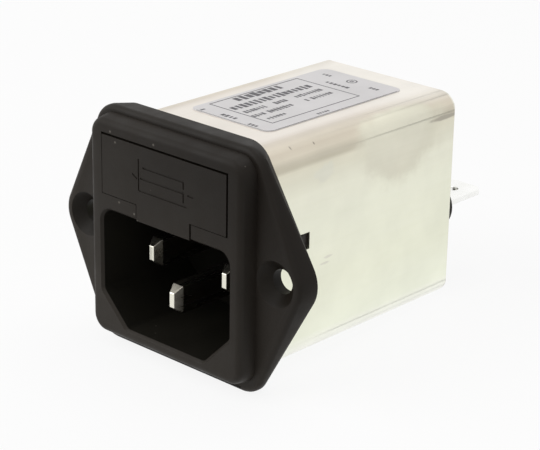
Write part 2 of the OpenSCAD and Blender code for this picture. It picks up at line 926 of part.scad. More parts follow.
// Earth blade with a foot that lies on the back of the case.
module earth_tab() {
  color(nickel)
    difference() {
      union() {
        translate([0, 0, earth_tab_z - tab_t / 2])
          linear_extrude(height = tab_t)
            blade_outline(case_l, case_l + tab_l);
        span([-tab_w / 2, case_l, earth_foot_z0],
          [tab_w / 2, case_l + tab_t, earth_tab_z + tab_t / 2]);
      }
      rod_y(0, rivet_z, case_l - over, case_l + tab_t + over, rivet_d);
    }
}

module earth_rivet() {
  head_y = case_l + tab_t;
  tail_y = case_floor_y - strap_t;
  color(nickel) {
    rod_y(0, rivet_z, tail_y - rivet_tail_t, head_y + rivet_head_t, rivet_d);
    rod_y(0, rivet_z, head_y, head_y + rivet_head_t, rivet_head_d);
    rod_y(0, rivet_z, tail_y - rivet_tail_t, tail_y, rivet_tail_d);
  }
}

inlet_housing();
line_pin();
neutral_pin();
earth_pin();
fuse_drawer();
fuse_tube();
fuse_caps();
fuse_wire();
fuse_contact_line();
fuse_contact_load();
line_link();
load_lead();
neutral_lead();
earth_strap();
circuit_board();
choke_core();
choke_divider();
line_winding();
neutral_winding();
x_capacitor();
y_capacitor_line();
y_capacitor_neutral();
bleed_resistor();
insulating_sleeve();
case();
label();
line_tab();
neutral_tab();
line_bushing();
neutral_bushing();
earth_tab();
earth_rivet();
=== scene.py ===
import math

import bmesh
import bpy
from mathutils import Euler, Matrix, Vector


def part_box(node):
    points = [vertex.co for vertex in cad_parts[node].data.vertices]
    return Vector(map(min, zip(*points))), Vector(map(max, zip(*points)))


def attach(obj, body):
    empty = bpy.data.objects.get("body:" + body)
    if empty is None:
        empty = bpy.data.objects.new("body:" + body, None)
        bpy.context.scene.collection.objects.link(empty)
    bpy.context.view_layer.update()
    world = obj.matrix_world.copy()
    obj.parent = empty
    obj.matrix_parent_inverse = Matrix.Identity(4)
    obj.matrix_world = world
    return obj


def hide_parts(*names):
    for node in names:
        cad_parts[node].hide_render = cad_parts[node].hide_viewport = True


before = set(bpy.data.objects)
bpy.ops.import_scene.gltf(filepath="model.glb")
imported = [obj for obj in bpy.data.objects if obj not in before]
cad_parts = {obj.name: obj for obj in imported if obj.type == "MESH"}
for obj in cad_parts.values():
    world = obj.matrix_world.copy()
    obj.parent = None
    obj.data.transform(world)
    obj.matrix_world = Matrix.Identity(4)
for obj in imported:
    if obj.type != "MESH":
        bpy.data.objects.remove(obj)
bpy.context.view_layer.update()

# ---------------------------------------------------------------- camera
# A long lens stands in front of the inlet, to its right and above it, and
# looks down on the label and along the right side of the case.
MM = 0.001

camera_data = bpy.data.cameras.new("camera")
camera_data.sensor_width = 36
camera_data.lens = 124.86
camera_data.clip_start = 0.01
camera_data.clip_end = 20
camera = bpy.data.objects.new("camera", camera_data)
bpy.context.scene.collection.objects.link(camera)
camera_place = Vector((167.53, -165.46, 93.03)) * MM
camera_turn = Euler([math.radians(a) for a in (90 - 21.02, 0, 42.82)]).to_matrix()
camera_roll = Matrix.Rotation(math.radians(0.98), 3, "Z")
camera.matrix_world = Matrix.Translation(camera_place) @ (camera_turn @ camera_roll).to_4x4()
bpy.context.scene.camera = camera

# ----------------------------------------------------- floor and daylight
# The filter lies on a white table, on the lower edge of its flange and the
# rear edge of its case, so the table is tilted a little against the filter.


def add(tree, kind, inputs=None, **settings):
    """A new node. Each input is a value, or another node's output socket."""
    made = tree.nodes.new(kind)
    for key, value in settings.items():
        setattr(made, key, value)
    for key, value in (inputs or {}).items():
        if isinstance(value, bpy.types.NodeSocket):
            tree.links.new(value, made.inputs[key])
        else:
            made.inputs[key].default_value = value
    return made


def seen_directly(tree):
    """1 for rays from the camera, or by way of metal and glass, and 0 for light."""
    path = add(tree, "ShaderNodeLightPath")
    mirror = add(tree, "ShaderNodeMath", {0: path.outputs["Is Glossy Ray"],
                 1: path.outputs["Is Transmission Ray"]}, operation="MAXIMUM")
    both = add(tree, "ShaderNodeMath", {0: path.outputs["Is Camera Ray"],
               1: mirror.outputs[0]}, operation="MAXIMUM")
    return both.outputs[0]


flange_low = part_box("inlet_housing")[0].z
case_low, case_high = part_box("case")
table_tilt = math.atan2(case_low.z - flange_low, case_high.y)
table_size = 4.0

table_mesh = bpy.data.meshes.new("table")
half = table_size / 2
table_mesh.from_pydata([(-half, -half, 0), (half, -half, 0), (half, half, 0), (-half, half, 0)],
                       [], [(0, 1, 2, 3)])
table_mesh.transform(Matrix.Translation((0, 0, flange_low)) @ Matrix.Rotation(table_tilt, 4, "X"))
table = bpy.data.objects.new("table", table_mesh)
bpy.context.scene.collection.objects.link(table)

white_table = bpy.data.materials.new("white_table")
white_table.use_nodes = True
tree = white_table.node_tree
tree.nodes.clear()
card = add(tree, "ShaderNodeBsdfDiffuse", {"Color": (0.9, 0.9, 0.9, 1)})
glow = add(tree, "ShaderNodeEmission", {"Color": (1, 1, 1, 1), "Strength": 1.0})
share = add(tree, "ShaderNodeMath", {0: seen_directly(tree), 1: 0.88}, operation="MULTIPLY")
both = add(tree, "ShaderNodeMixShader", {0: share.outputs[0], 1: card.outputs[0],
           2: glow.outputs[0]})
add(tree, "ShaderNodeOutputMaterial", {"Surface": both.outputs[0]})
table_mesh.materials.append(white_table)

world = bpy.data.worlds.new("daylight")
world.use_nodes = True
bpy.context.scene.world = world
tree = world.node_tree
tree.nodes.clear()
room = add(tree, "ShaderNodeBackground", {"Color": (1, 1, 1, 1), "Strength": 0.36})
backdrop = add(tree, "ShaderNodeBackground", {"Color": (1, 1, 1, 1), "Strength": 1.0})
both = add(tree, "ShaderNodeMixShader", {0: seen_directly(tree), 1: room.outputs[0],
           2: backdrop.outputs[0]})
add(tree, "ShaderNodeOutputWorld", {"Surface": both.outputs[0]})

filter_middle = (case_low + case_high) / 2


def softbox(name, place, size, power):
    """A square lamp at place that faces the filter."""
    data = bpy.data.lights.new(name, "AREA")
    data.size = size
    data.energy = power
    lamp = bpy.data.objects.new(name, data)
    bpy.context.scene.collection.objects.link(lamp)
    lamp.location = place
    lamp.rotation_euler = (filter_middle - Vector(place)).to_track_quat("-Z", "Y").to_euler()


softbox("lamp_left", (-0.45, -0.65, 0.55), 0.90, 5.5)
softbox("lamp_right", (0.55, -0.35, 0.40), 0.40, 0.4)
softbox("lamp_top", (0.05, 0.15, 0.90), 0.60, 2.2)

bpy.context.scene.view_settings.view_transform = "Standard"

# ------------------------------------------------------------ inlet housing
# One moulding of glass-filled black thermoplastic: hexagonal flange, bezel,
# recess for the cord's plug and the chamber behind it. Its faces have a fine
# matt grain, its edges are soft, and the case snaps over its two latches.


def surface(name):
    """A new material: its node tree, its shader and its object coordinates."""
    made = bpy.data.materials.new(name)
    made.use_nodes = True
    nodes = made.node_tree.nodes
    place = add(made.node_tree, "ShaderNodeTexCoord").outputs["Object"]
    return made, made.node_tree, nodes["Principled BSDF"], place


def mottle(tree, place, scale, low, high, detail=3.0, stretch=(1, 1, 1)):
    """Soft noise between two numbers, with scale in cycles a metre."""
    sized = add(tree, "ShaderNodeMapping", {"Vector": place, "Scale": stretch})
    noise = add(tree, "ShaderNodeTexNoise", {"Vector": sized.outputs[0], "Scale": scale,
                "Detail": detail})
    spread = add(tree, "ShaderNodeMapRange", {"Value": noise.outputs["Fac"], "From Min": 0.3,
                 "From Max": 0.7, "To Min": low, "To Max": high})
    return spread.outputs[0]


def between(tree, share, first, second):
    """A colour between two colours, or two colour sockets."""
    mix = add(tree, "ShaderNodeMix", {0: share, 6: first, 7: second}, data_type="RGBA")
    return mix.outputs[2]


def shape_grain(tree, shader, height, depth, strength=1.0):
    """Bump of the given depth in metres on the shader."""
    bump = add(tree, "ShaderNodeBump", {"Height": height, "Distance": depth,
               "Strength": strength})
    tree.links.new(bump.outputs[0], shader.inputs["Normal"])


housing_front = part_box("inlet_housing")[0].y
bezel_depth = 2.5 * MM
recess_half = 12.3 * MM
recess_top = 3.2 * MM
lip_depth = 0.3 * MM
screw_x = 18 * MM
cone_radius = 3.22 * MM
chipped_at = ((-8.54, 4.85), (-5.59, 3.96), (-10.16, 14.52), (-9.20, 13.23),
              (-2.38, 15.90), (-1.76, 14.67))
chip_inner, chip_outer = 0.10 * MM, 0.20 * MM
# Along x * 0.7 + z, the painted shade is full at 19 mm (upper right) and the painted light is full
# at -17 mm (lower left).
painted_shade_end, painted_lit_end = 19 * MM, -17 * MM


def moulded_black(name, painted_lit_tone, painted_shade_tone, gloss):
    """Matt black with soft clouds, specks and chips. Painted light makes it lighter towards the
    lower left, painted shade makes it darker towards the upper right, and the cones round the
    screws hold painted shade.
    """
    made, tree, shader, place = surface(name)
    worn = (0.11, 0.10, 0.085, 1)
    axes = add(tree, "ShaderNodeSeparateXYZ", {0: place})
    # Painted light and shade: lighter towards the lower left, darker towards the upper right.
    slope = add(tree, "ShaderNodeMath", {0: axes.outputs[0], 1: 0.7, 2: axes.outputs[2]},
                operation="MULTIPLY_ADD")
    painted_light_share = add(tree, "ShaderNodeMapRange", {"Value": slope.outputs[0],
                 "From Min": painted_shade_end, "From Max": painted_lit_end})
    tone = between(tree, painted_light_share.outputs[0], painted_shade_tone, painted_lit_tone)
    # Painted shade in the countersunk cones round the screw holes.
    aside = add(tree, "ShaderNodeMath", {0: axes.outputs[0]}, operation="ABSOLUTE")
    offset = add(tree, "ShaderNodeMath", {0: aside.outputs[0], 1: screw_x},
                 operation="SUBTRACT")
    spoke = add(tree, "ShaderNodeCombineXYZ", {0: offset.outputs[0], 1: axes.outputs[2]})
    reach = add(tree, "ShaderNodeVectorMath", {0: spoke.outputs[0]}, operation="LENGTH")
    near = add(tree, "ShaderNodeMath", {0: reach.outputs["Value"], 1: cone_radius},
               operation="LESS_THAN")
    sunk = add(tree, "ShaderNodeMath", {0: axes.outputs[1],
               1: housing_front + bezel_depth + 0.02 * MM}, operation="GREATER_THAN")
    cone_painted_shade = add(tree, "ShaderNodeMath", {0: near.outputs[0], 1: sunk.outputs[0]},
               operation="MULTIPLY")
    tone = between(tree, cone_painted_shade.outputs[0], tone, (0.0080, 0.0058, 0.0034, 1))
    cloud = between(tree, mottle(tree, place, 110, 0, 1), (0.90, 0.90, 0.90, 1),
                    (1.12, 1.12, 1.12, 1))
    tint = add(tree, "ShaderNodeVectorMath", {0: cloud, 1: tone},
               operation="MULTIPLY").outputs[0]
    dust = add(tree, "ShaderNodeTexVoronoi", {"Vector": place, "Scale": 620})
    speck = add(tree, "ShaderNodeMapRange", {"Value": dust.outputs["Distance"],
                "From Min": 0.05, "From Max": 0.09, "To Min": 1, "To Max": 0})
    rare = add(tree, "ShaderNodeMapRange", {"Value": mottle(tree, place, 240, 0, 1),
               "From Min": 0.72, "From Max": 0.95})
    fleck = add(tree, "ShaderNodeMath", {0: speck.outputs[0], 1: rare.outputs[0]},
                operation="MULTIPLY")
    tint = between(tree, fleck.outputs[0], tint, worn)
    for x, z in chipped_at:
        centre = Vector((x * MM, housing_front, z * MM))
        away = add(tree, "ShaderNodeVectorMath", {0: place, 1: centre}, operation="DISTANCE")
        chip = add(tree, "ShaderNodeMapRange", {"Value": away.outputs["Value"],
                   "From Min": chip_inner, "From Max": chip_outer, "To Min": 1, "To Max": 0})
        tint = between(tree, chip.outputs[0], tint, worn)
    tree.links.new(tint, shader.inputs["Base Color"])
    tree.links.new(mottle(tree, place, 260, 0.42, 0.58), shader.inputs["Roughness"])
    shader.inputs["Specular IOR Level"].default_value = gloss
    shape_grain(tree, shader, mottle(tree, place, 5200, 0, 1, 2.0), 0.006 * MM)
    return made


def edited(node, change):
    """A clean copy of a CAD node's mesh: merged, with flat faces whole, then changed."""
    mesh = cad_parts[node].data.copy()
    mesh.materials.clear()
    shape = bmesh.new()
    shape.from_mesh(mesh)
    bmesh.ops.remove_doubles(shape, verts=shape.verts, dist=0.001 * MM)
    bmesh.ops.dissolve_limit(shape, angle_limit=math.radians(0.3), verts=shape.verts[:],
                             edges=shape.edges[:])
    change(shape)
    shape.to_mesh(mesh)
    shape.free()
    return mesh


def dress(node, body, material, softness, change=lambda shape: None, facet=32):
    """A piece that stands for a CAD node, with its sharp edges softened."""
    mesh = edited(node, change)
    mesh.materials.append(material)
    piece = bpy.data.objects.new(node + "_body", mesh)
    bpy.context.scene.collection.objects.link(piece)
    mesh.shade_smooth()
    mesh.set_sharp_from_angle(angle=math.radians(facet))
    soft = piece.modifiers.new("soft_edges", "BEVEL")
    soft.width = softness
    soft.segments = 2
    soft.limit_method = "ANGLE"
    soft.angle_limit = math.radians(facet)
    soft.harden_normals = True
    soft.use_clamp_overlap = True
    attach(piece, body)
    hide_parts(node)
    return piece


# The housing's black holds painted light at the lower left and painted shade at the upper right.
black = moulded_black("black_thermoplastic", (0.0275, 0.0230, 0.0182, 1),
                      (0.0100, 0.0075, 0.0052, 1), 0.15)
# Painted shade inside the recess: its walls get a darker, less glossy black.
recess_painted_shade = moulded_black("black_recess_painted_shade", (0.0120, 0.0110, 0.0085, 1),
                             (0.0120, 0.0110, 0.0085, 1), 0.05)
housing = dress("inlet_housing", "filter", black, 0.10 * MM)
housing.data.materials.append(recess_painted_shade)
# Faces deep inside the recess take the painted-shade black.
for face in housing.data.polygons:
    corners = [housing.data.vertices[i].co for i in face.vertices]
    deep = all(c.y > housing_front + lip_depth for c in corners)
    if deep and face.center.z < recess_top and all(abs(c.x) < recess_half for c in corners):
        face.material_index = 1

# -------------------------------------------------------------- fuse drawer
# A small tray of the same black plastic that slides in above the recess. The
# sign of a fuse is cut into its front, and its tongue hooks over the recess.
drawer_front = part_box("fuse_drawer")[0].y
sign_depth = 0.10 * MM
sign_line = 0.26 * MM


def cut_sign(piece):
    """Cuts the fuse sign: a box, its middle line and both leads."""
    strokes = (
        ((-4.64, 7.65), (-4.64, 11.88)), ((3.85, 10.00), (3.85, 10.97)),
        ((3.85, 8.13), (3.85, 9.45)), ((-3.71, 10.93), (3.85, 10.93)),
        ((-4.40, 7.58), (4.31, 7.58)), ((-4.21, 9.35), (3.69, 9.35)),
        ((-5.73, 9.62), (-5.02, 9.21)), ((4.77, 9.24), (5.54, 9.24)),
    )
    cutters = bmesh.new()
    for (x0, z0), (x1, z1) in strokes:
        along = Vector((x1 - x0, 0, z1 - z0)) * MM
        centre = Vector(((x0 + x1) / 2 * MM, drawer_front, (z0 + z1) / 2 * MM))
        lean = Matrix.Rotation(math.atan2(-along.z, along.x), 4, "Y")
        spread = Matrix.Diagonal((along.length + sign_line, 2 * sign_depth, sign_line, 1))
        bmesh.ops.create_cube(cutters, size=1, matrix=Matrix.Translation(centre) @ lean @ spread)
    mesh = bpy.data.meshes.new("sign_cutter")
    cutters.to_mesh(mesh)
    cutters.free()
    cutter = bpy.data.objects.new("sign_cutter", mesh)
    bpy.context.scene.collection.objects.link(cutter)
    cut = piece.modifiers.new("sign", "BOOLEAN")
    cut.object = cutter
    cut.solver = "EXACT"
    cut.use_self = True
    return cutter


def settle(piece, *helpers):
    """Turns a piece with its modifiers into one plain mesh, and drops the helpers."""
    mesh = bpy.data.meshes.new_from_object(
        piece.evaluated_get(bpy.context.evaluated_depsgraph_get()))
    piece.modifiers.clear()
    piece.data = mesh
    for helper in helpers:
        bpy.data.objects.remove(helper)
    return piece


drawer = dress("fuse_drawer", "drawer", black, 0.04 * MM)
settle(drawer, cut_sign(drawer))

# --------------------------------------------------------------------- pins
# Three blades of nickel-plated brass with bevelled tips, pressed through the
# recess floor. Their end faces carry a painted highlight and their blades painted shade.


def nickel_painted_light(name, tip):
    """Nickel with a painted highlight on the end face at tip and painted shade along the blade."""
    made, tree, shader, place = surface(name)
    shader.inputs["Metallic"].default_value = 1.0
    blade_painted_shade = between(tree, mottle(tree, place, 300, 0, 1), (0.30, 0.28, 0.24, 1),
                   (0.22, 0.21, 0.18, 1))
    axes = add(tree, "ShaderNodeSeparateXYZ", {0: place})
    along = add(tree, "ShaderNodeMapRange", {"Value": axes.outputs[1],
                "From Min": tip + 0.06 * MM, "From Max": tip + 0.16 * MM})
    tree.links.new(between(tree, along.outputs[0], (0.82, 0.80, 0.70, 1), blade_painted_shade),
                   shader.inputs["Base Color"])
    scratches = mottle(tree, place, 1500, 0.24, 0.34, 4.0, (1, 0.06, 1))
    tree.links.new(scratches, shader.inputs["Roughness"])
    return made


for pin in ("line_pin", "neutral_pin", "earth_pin"):
    dress(pin, "filter", nickel_painted_light(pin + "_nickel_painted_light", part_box(pin)[0].y), 0.12 * MM)

# --------------------------------------------------------------------- fuse
# A 20 mm glass fuse: a clear tube, two pressed caps and a thin tinned wire.


def finish(material, *nodes):
    """Gives CAD nodes that keep their own mesh this material."""
    for node in nodes:
        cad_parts[node].material_slots[0].material = material


def clear_glass():
    made, tree, shader, place = surface("fuse_tube_glass")
    shader.inputs["Base Color"].default_value = (0.93, 0.97, 0.96, 1)
    shader.inputs["Transmission Weight"].default_value = 1.0
    shader.inputs["IOR"].default_value = 1.5
    tree.links.new(mottle(tree, place, 400, 0.01, 0.05), shader.inputs["Roughness"])
    return made


def tinned_metal():
    made, tree, shader, place = surface("tinned_metal")
    shader.inputs["Metallic"].default_value = 1.0
    tint = between(tree, mottle(tree, place, 700, 0, 1), (0.80, 0.80, 0.77, 1),
                   (0.66, 0.66, 0.63, 1))
    tree.links.new(tint, shader.inputs["Base Color"])
    tree.links.new(mottle(tree, place, 1500, 0.25, 0.45), shader.inputs["Roughness"])
    return made


finish(clear_glass(), "fuse_tube")
finish(tinned_metal(), "fuse_caps", "fuse_wire")

# ----------------------------------------------------------- brass conductors
# Stamped spring brass: two contacts that press on the fuse, a link from the
# line pin to the first of them, and the strap that earths the case.


def spring_brass():
    made, tree, shader, place = surface("stamped_brass")
    shader.inputs["Metallic"].default_value = 1.0
    tint = between(tree, mottle(tree, place, 180, 0, 1), (0.80, 0.60, 0.28, 1),
                   (0.62, 0.45, 0.20, 1))
    tree.links.new(tint, shader.inputs["Base Color"])
    rolled = mottle(tree, place, 3500, 0, 1, 3.0, (1, 1, 0.08))
    blade_painted_shade = add(tree, "ShaderNodeMapRange", {"Value": rolled, "To Min": 0.25, "To Max": 0.42})
    tree.links.new(blade_painted_shade.outputs[0], shader.inputs["Roughness"])
    shape_grain(tree, shader, rolled, 0.003 * MM)
    return made


finish(spring_brass(), "fuse_contact_line", "fuse_contact_load", "line_link", "earth_strap")

# -------------------------------------------------------------------- leads
# Two insulated wires run from the inlet to the board: red from the fuse, blue
# from the neutral pin. Their vinyl has a soft shine.


def vinyl(name, light, dark):
    made, tree, shader, place = surface(name)
    tree.links.new(between(tree, mottle(tree, place, 500, 0, 1), light, dark),
                   shader.inputs["Base Color"])
    tree.links.new(mottle(tree, place, 900, 0.32, 0.45), shader.inputs["Roughness"])
    shape_grain(tree, shader, mottle(tree, place, 2600, 0, 1), 0.01 * MM, 0.5)
    return made


finish(vinyl("red_vinyl", (0.42, 0.05, 0.03, 1), (0.33, 0.035, 0.02, 1)), "load_lead")
finish(vinyl("blue_vinyl", (0.05, 0.14, 0.36, 1), (0.035, 0.10, 0.28, 1)), "neutral_lead")

# ------------------------------------------------------------ circuit board
# A plate of brown resin-bonded paper, sheared and punched, with a faint weave.


def bonded_paper():
    made, tree, shader, place = surface("bonded_paper")
    fibre = mottle(tree, place, 900, 0, 1, 5.0, (1, 1, 0.35))
    tree.links.new(between(tree, fibre, (0.34, 0.20, 0.075, 1), (0.26, 0.145, 0.05, 1)),
                   shader.inputs["Base Color"])
    tree.links.new(mottle(tree, place, 1200, 0.40, 0.6), shader.inputs["Roughness"])
    shape_grain(tree, shader, fibre, 0.02 * MM, 0.4)
    return made


finish(bonded_paper(), "circuit_board")

# -------------------------------------------------------------------- choke
# A ring of coated ferrite with two windings of enamelled copper, kept apart by
# a small plastic wall through its hole.


def coated_ferrite():
    made, tree, shader, place = surface("coated_ferrite")
    tree.links.new(between(tree, mottle(tree, place, 350, 0, 1), (0.06, 0.12, 0.08, 1),
                           (0.09, 0.17, 0.11, 1)), shader.inputs["Base Color"])
    tree.links.new(mottle(tree, place, 900, 0.35, 0.5), shader.inputs["Roughness"])
    shape_grain(tree, shader, mottle(tree, place, 1800, 0, 1), 0.03 * MM, 0.5)
    return made


def pale_plastic():
    made, tree, shader, place = surface("pale_plastic")
    tree.links.new(between(tree, mottle(tree, place, 250, 0, 1), (0.76, 0.72, 0.60, 1),
                           (0.69, 0.64, 0.52, 1)), shader.inputs["Base Color"])
    tree.links.new(mottle(tree, place, 700, 0.4, 0.55), shader.inputs["Roughness"])
    return made


def enamelled_copper():
    made, tree, shader, place = surface("enamelled_copper")
    shader.inputs["Metallic"].default_value = 0.85
    shader.inputs["Coat Weight"].default_value = 0.6
    shader.inputs["Coat Roughness"].default_value = 0.12
    tree.links.new(between(tree, mottle(tree, place, 400, 0, 1), (0.62, 0.22, 0.07, 1),
                           (0.48, 0.15, 0.045, 1)), shader.inputs["Base Color"])
    tree.links.new(mottle(tree, place, 1500, 0.28, 0.4), shader.inputs["Roughness"])
    return made


finish(coated_ferrite(), "choke_core")
finish(pale_plastic(), "choke_divider")
finish(enamelled_copper(), "line_winding", "neutral_winding")

# -------------------------------------------------- capacitors and resistor
# A yellow box capacitor lies across the line, two blue dipped discs go to
# earth, and a tan resistor with colour rings lies on the box.


def poured_yellow():
    made, tree, shader, place = surface("poured_yellow")
    tree.links.new(between(tree, mottle(tree, place, 200, 0, 1), (0.66, 0.48, 0.04, 1),
                           (0.57, 0.40, 0.03, 1)), shader.inputs["Base Color"])
    tree.links.new(mottle(tree, place, 600, 0.25, 0.4), shader.inputs["Roughness"])
    shape_grain(tree, shader, mottle(tree, place, 900, 0, 1), 0.02 * MM, 0.4)
    return made


def dipped_blue():
    made, tree, shader, place = surface("dipped_blue")
    tree.links.new(between(tree, mottle(tree, place, 500, 0, 1), (0.04, 0.15, 0.34, 1),
                           (0.06, 0.20, 0.42, 1)), shader.inputs["Base Color"])
    tree.links.new(mottle(tree, place, 1200, 0.3, 0.5), shader.inputs["Roughness"])
    shape_grain(tree, shader, mottle(tree, place, 1400, 0, 1), 0.04 * MM, 0.6)
    return made


def ringed_tan():
    made, tree, shader, place = surface("ringed_tan")
    axes = add(tree, "ShaderNodeSeparateXYZ", {0: place})
    tint = between(tree, mottle(tree, place, 800, 0, 1), (0.55, 0.42, 0.24, 1),
                   (0.47, 0.35, 0.19, 1))
    rings = ((-1.9, (0.25, 0.09, 0.02, 1)), (-0.9, (0.02, 0.02, 0.02, 1)),
             (0.1, (0.45, 0.22, 0.01, 1)), (1.8, (0.50, 0.36, 0.10, 1)))
    for middle_x, colour in rings:
        near = add(tree, "ShaderNodeMath", {0: axes.outputs[0], 1: middle_x * MM, 2: 0.25 * MM},
                   operation="COMPARE")
        tint = between(tree, near.outputs[0], tint, colour)
    tree.links.new(tint, shader.inputs["Base Color"])
    tree.links.new(mottle(tree, place, 900, 0.3, 0.45), shader.inputs["Roughness"])
    return made


finish(poured_yellow(), "x_capacitor")
finish(dipped_blue(), "y_capacitor_line", "y_capacitor_neutral")
finish(ringed_tan(), "bleed_resistor")

# --------------------------------------------------------- insulating sleeve
# A sheet of milky polyester film, rolled into the case round the live parts.


def polyester_film():
    made, tree, shader, place = surface("polyester_film")
    tree.links.new(between(tree, mottle(tree, place, 90, 0, 1), (0.78, 0.74, 0.58, 1),
                           (0.72, 0.67, 0.51, 1)), shader.inputs["Base Color"])
    shader.inputs["Transmission Weight"].default_value = 0.25
    tree.links.new(mottle(tree, place, 300, 0.28, 0.4), shader.inputs["Roughness"])
    return made


finish(polyester_film(), "insulating_sleeve")

# --------------------------------------------------------------------- case
# A cup drawn from tin-plated steel sheet, pushed over the housing until its
# windows catch the latches. Handling has left stains and fine scratches. Its colour
# holds painted reflection and shade over the top, the bend and the side, the bend is
# painted lighter towards the back, and a painted shade line runs along the bend there.
# Where the painted lightening of the bend begins and ends along the case.
painted_light_from, painted_light_to = 22 * MM, 34 * MM


def blot(tree, place, centre, radii, ragged, edge=0.35):
    """1 inside a ragged blot about centre, in millimetres, and 0 away from it."""
    moved = add(tree, "ShaderNodeVectorMath", {0: place, 1: Vector(centre) * MM},
                operation="SUBTRACT")
    sized = add(tree, "ShaderNodeVectorMath", {0: moved.outputs[0], 1: Vector(radii) * MM},
                operation="DIVIDE")
    away = add(tree, "ShaderNodeVectorMath", {0: sized.outputs[0]}, operation="LENGTH")
    torn = add(tree, "ShaderNodeMath", {0: away.outputs["Value"],
               1: mottle(tree, place, 420, -ragged, ragged, 4.0)}, operation="ADD")
    inside = add(tree, "ShaderNodeMapRange", {"Value": torn.outputs[0], "From Min": 1 - edge,
                 "From Max": 1 + edge, "To Min": 1, "To Max": 0}, interpolation_type="SMOOTHSTEP")
    return inside.outputs[0]


def tinned_steel():
    made, tree, shader, place = surface("tinned_steel")
    shader.inputs["Metallic"].default_value = 1.0
    axes = add(tree, "ShaderNodeSeparateXYZ", {0: place})
    across = add(tree, "ShaderNodeMath", {0: axes.outputs[0]}, operation="ABSOLUTE")
    girth = add(tree, "ShaderNodeMath", {0: across.outputs[0], 1: axes.outputs[2]},
                operation="SUBTRACT")
    # Painted reflection and shade in the tin's colour, from the top over the bend and down the
    # side: x less z in millimetres.
    painted_light_tones = (
        (-15.5, (0.778, 0.733, 0.669)), (-6.9, (0.792, 0.745, 0.682)),
        (-5.85, (0.718, 0.662, 0.591)), (-5.25, (0.665, 0.607, 0.519)),
        (-3.4, (0.649, 0.594, 0.496)), (-2.25, (0.634, 0.573, 0.473)),
        (-1.1, (0.700, 0.643, 0.530)), (-0.13, (0.607, 0.563, 0.459)),
        (0.75, (0.583, 0.544, 0.435)), (1.3, (0.775, 0.743, 0.612)), (3.2, (0.778, 0.764, 0.634)),
        (5.2, (0.847, 0.841, 0.707)), (9.2, (0.850, 0.854, 0.716)), (19, (0.876, 0.886, 0.731)),
        (25.5, (0.922, 0.942, 0.797)), (27.2, (1.000, 1.000, 0.929)), (28.4, (1.000, 1.000, 1.000)),
    )
    share = add(tree, "ShaderNodeMapRange", {"Value": girth.outputs[0],
                "From Min": painted_light_tones[0][0] * MM, "From Max": painted_light_tones[-1][0] * MM})
    ramp = add(tree, "ShaderNodeValToRGB", {0: share.outputs[0]})
    stops = ramp.color_ramp.elements
    stops[0].color, stops[1].color = (*painted_light_tones[0][1], 1), (*painted_light_tones[-1][1], 1)
    for at, colour in painted_light_tones[1:-1]:
        stop = stops.new((at - painted_light_tones[0][0]) / (painted_light_tones[-1][0] - painted_light_tones[0][0]))
        stop.color = (*colour, 1)
    # Painted reflection: the bend is painted lighter towards the back.
    rise = add(tree, "ShaderNodeMapRange", {"Value": axes.outputs[1], "From Min": painted_light_from,
               "From Max": painted_light_to, "To Max": 0.45}, interpolation_type="SMOOTHSTEP")
    over = add(tree, "ShaderNodeMapRange", {"Value": girth.outputs[0], "From Min": -1.5 * MM,
               "From Max": -5.0 * MM})
    rear_top = add(tree, "ShaderNodeMath", {0: rise.outputs[0], 1: over.outputs[0]},
                   operation="MULTIPLY")
    tint = between(tree, rear_top.outputs[0], ramp.outputs[0], (0.88, 0.86, 0.80, 1))
    back = add(tree, "ShaderNodeMapRange", {"Value": axes.outputs[1],
               "From Min": case_high.y - 0.4 * MM, "From Max": case_high.y - 0.1 * MM})
    tint = between(tree, back.outputs[0], tint, (0.82, 0.81, 0.72, 1))
    # Stains and scratches, and one painted shade line along the bend at the back.
    stains_scratches_and_painted_shade = (
        ((13.2, 27.8, 12.4), (2.0, 7.8, 6.2), 0.13, (0.67, 0.65, 0.53, 1)),
        ((13.2, 26.8, 13.2), (2.0, 7.4, 6.2), 0.13, (0.74, 0.72, 0.60, 1)),
        ((13.2, 11.6, 10.5), (1.5, 1.6, 1.1), 0.40, (0.76, 0.75, 0.64, 1)),
        # Painted shade: a dark line along the bend towards the back.
        ((13.2, 37.5, 12.45), (0.8, 4.0, 0.30), 0.30, (0.44, 0.41, 0.34, 1)),
        ((13.2, 12.9, -1.9), (1.0, 1.0, 0.16), 0.60, (0.76, 0.75, 0.64, 1)),
        ((13.2, 11.9, -2.7), (1.0, 0.9, 0.14), 0.60, (0.76, 0.75, 0.64, 1)),
        ((12.6, 6.0, 15.0), (0.8, 0.22, 0.30), 0.30, (0.10, 0.09, 0.08, 1)),
        ((12.9, 10.3, 14.7), (0.8, 0.20, 0.25), 0.30, (0.16, 0.14, 0.12, 1)),
    )
    for centre, radii, ragged, colour in stains_scratches_and_painted_shade:
        tint = between(tree, blot(tree, place, centre, radii, ragged), tint, colour)
    cloud = mottle(tree, place, 130, 0.95, 1.03, 4.0)
    shaded = add(tree, "ShaderNodeVectorMath", {0: tint, "Scale": cloud}, operation="SCALE")
    tree.links.new(shaded.outputs[0], shader.inputs["Base Color"])
    drawn = mottle(tree, place, 1800, 0, 1, 4.0, (1, 0.05, 1))
    rough = add(tree, "ShaderNodeMapRange", {"Value": drawn, "To Min": 0.34, "To Max": 0.46})
    tree.links.new(rough.outputs[0], shader.inputs["Roughness"])
    dents = mottle(tree, place, 70, 0, 1, 2.0)
    height = add(tree, "ShaderNodeMath", {0: drawn, 1: 0.06, 2: dents}, operation="MULTIPLY_ADD")
    shape_grain(tree, shader, height.outputs[0], 0.05 * MM)
    return made


dress("case", "filter", tinned_steel(), 0.06 * MM, facet=40)

# -------------------------------------------------------------------- label
# A silvery film stuck on top of the case. Its print is kept to an inner frame, a
# ring and rows of plain dashes; a dark line along its front and right edges is painted shade.


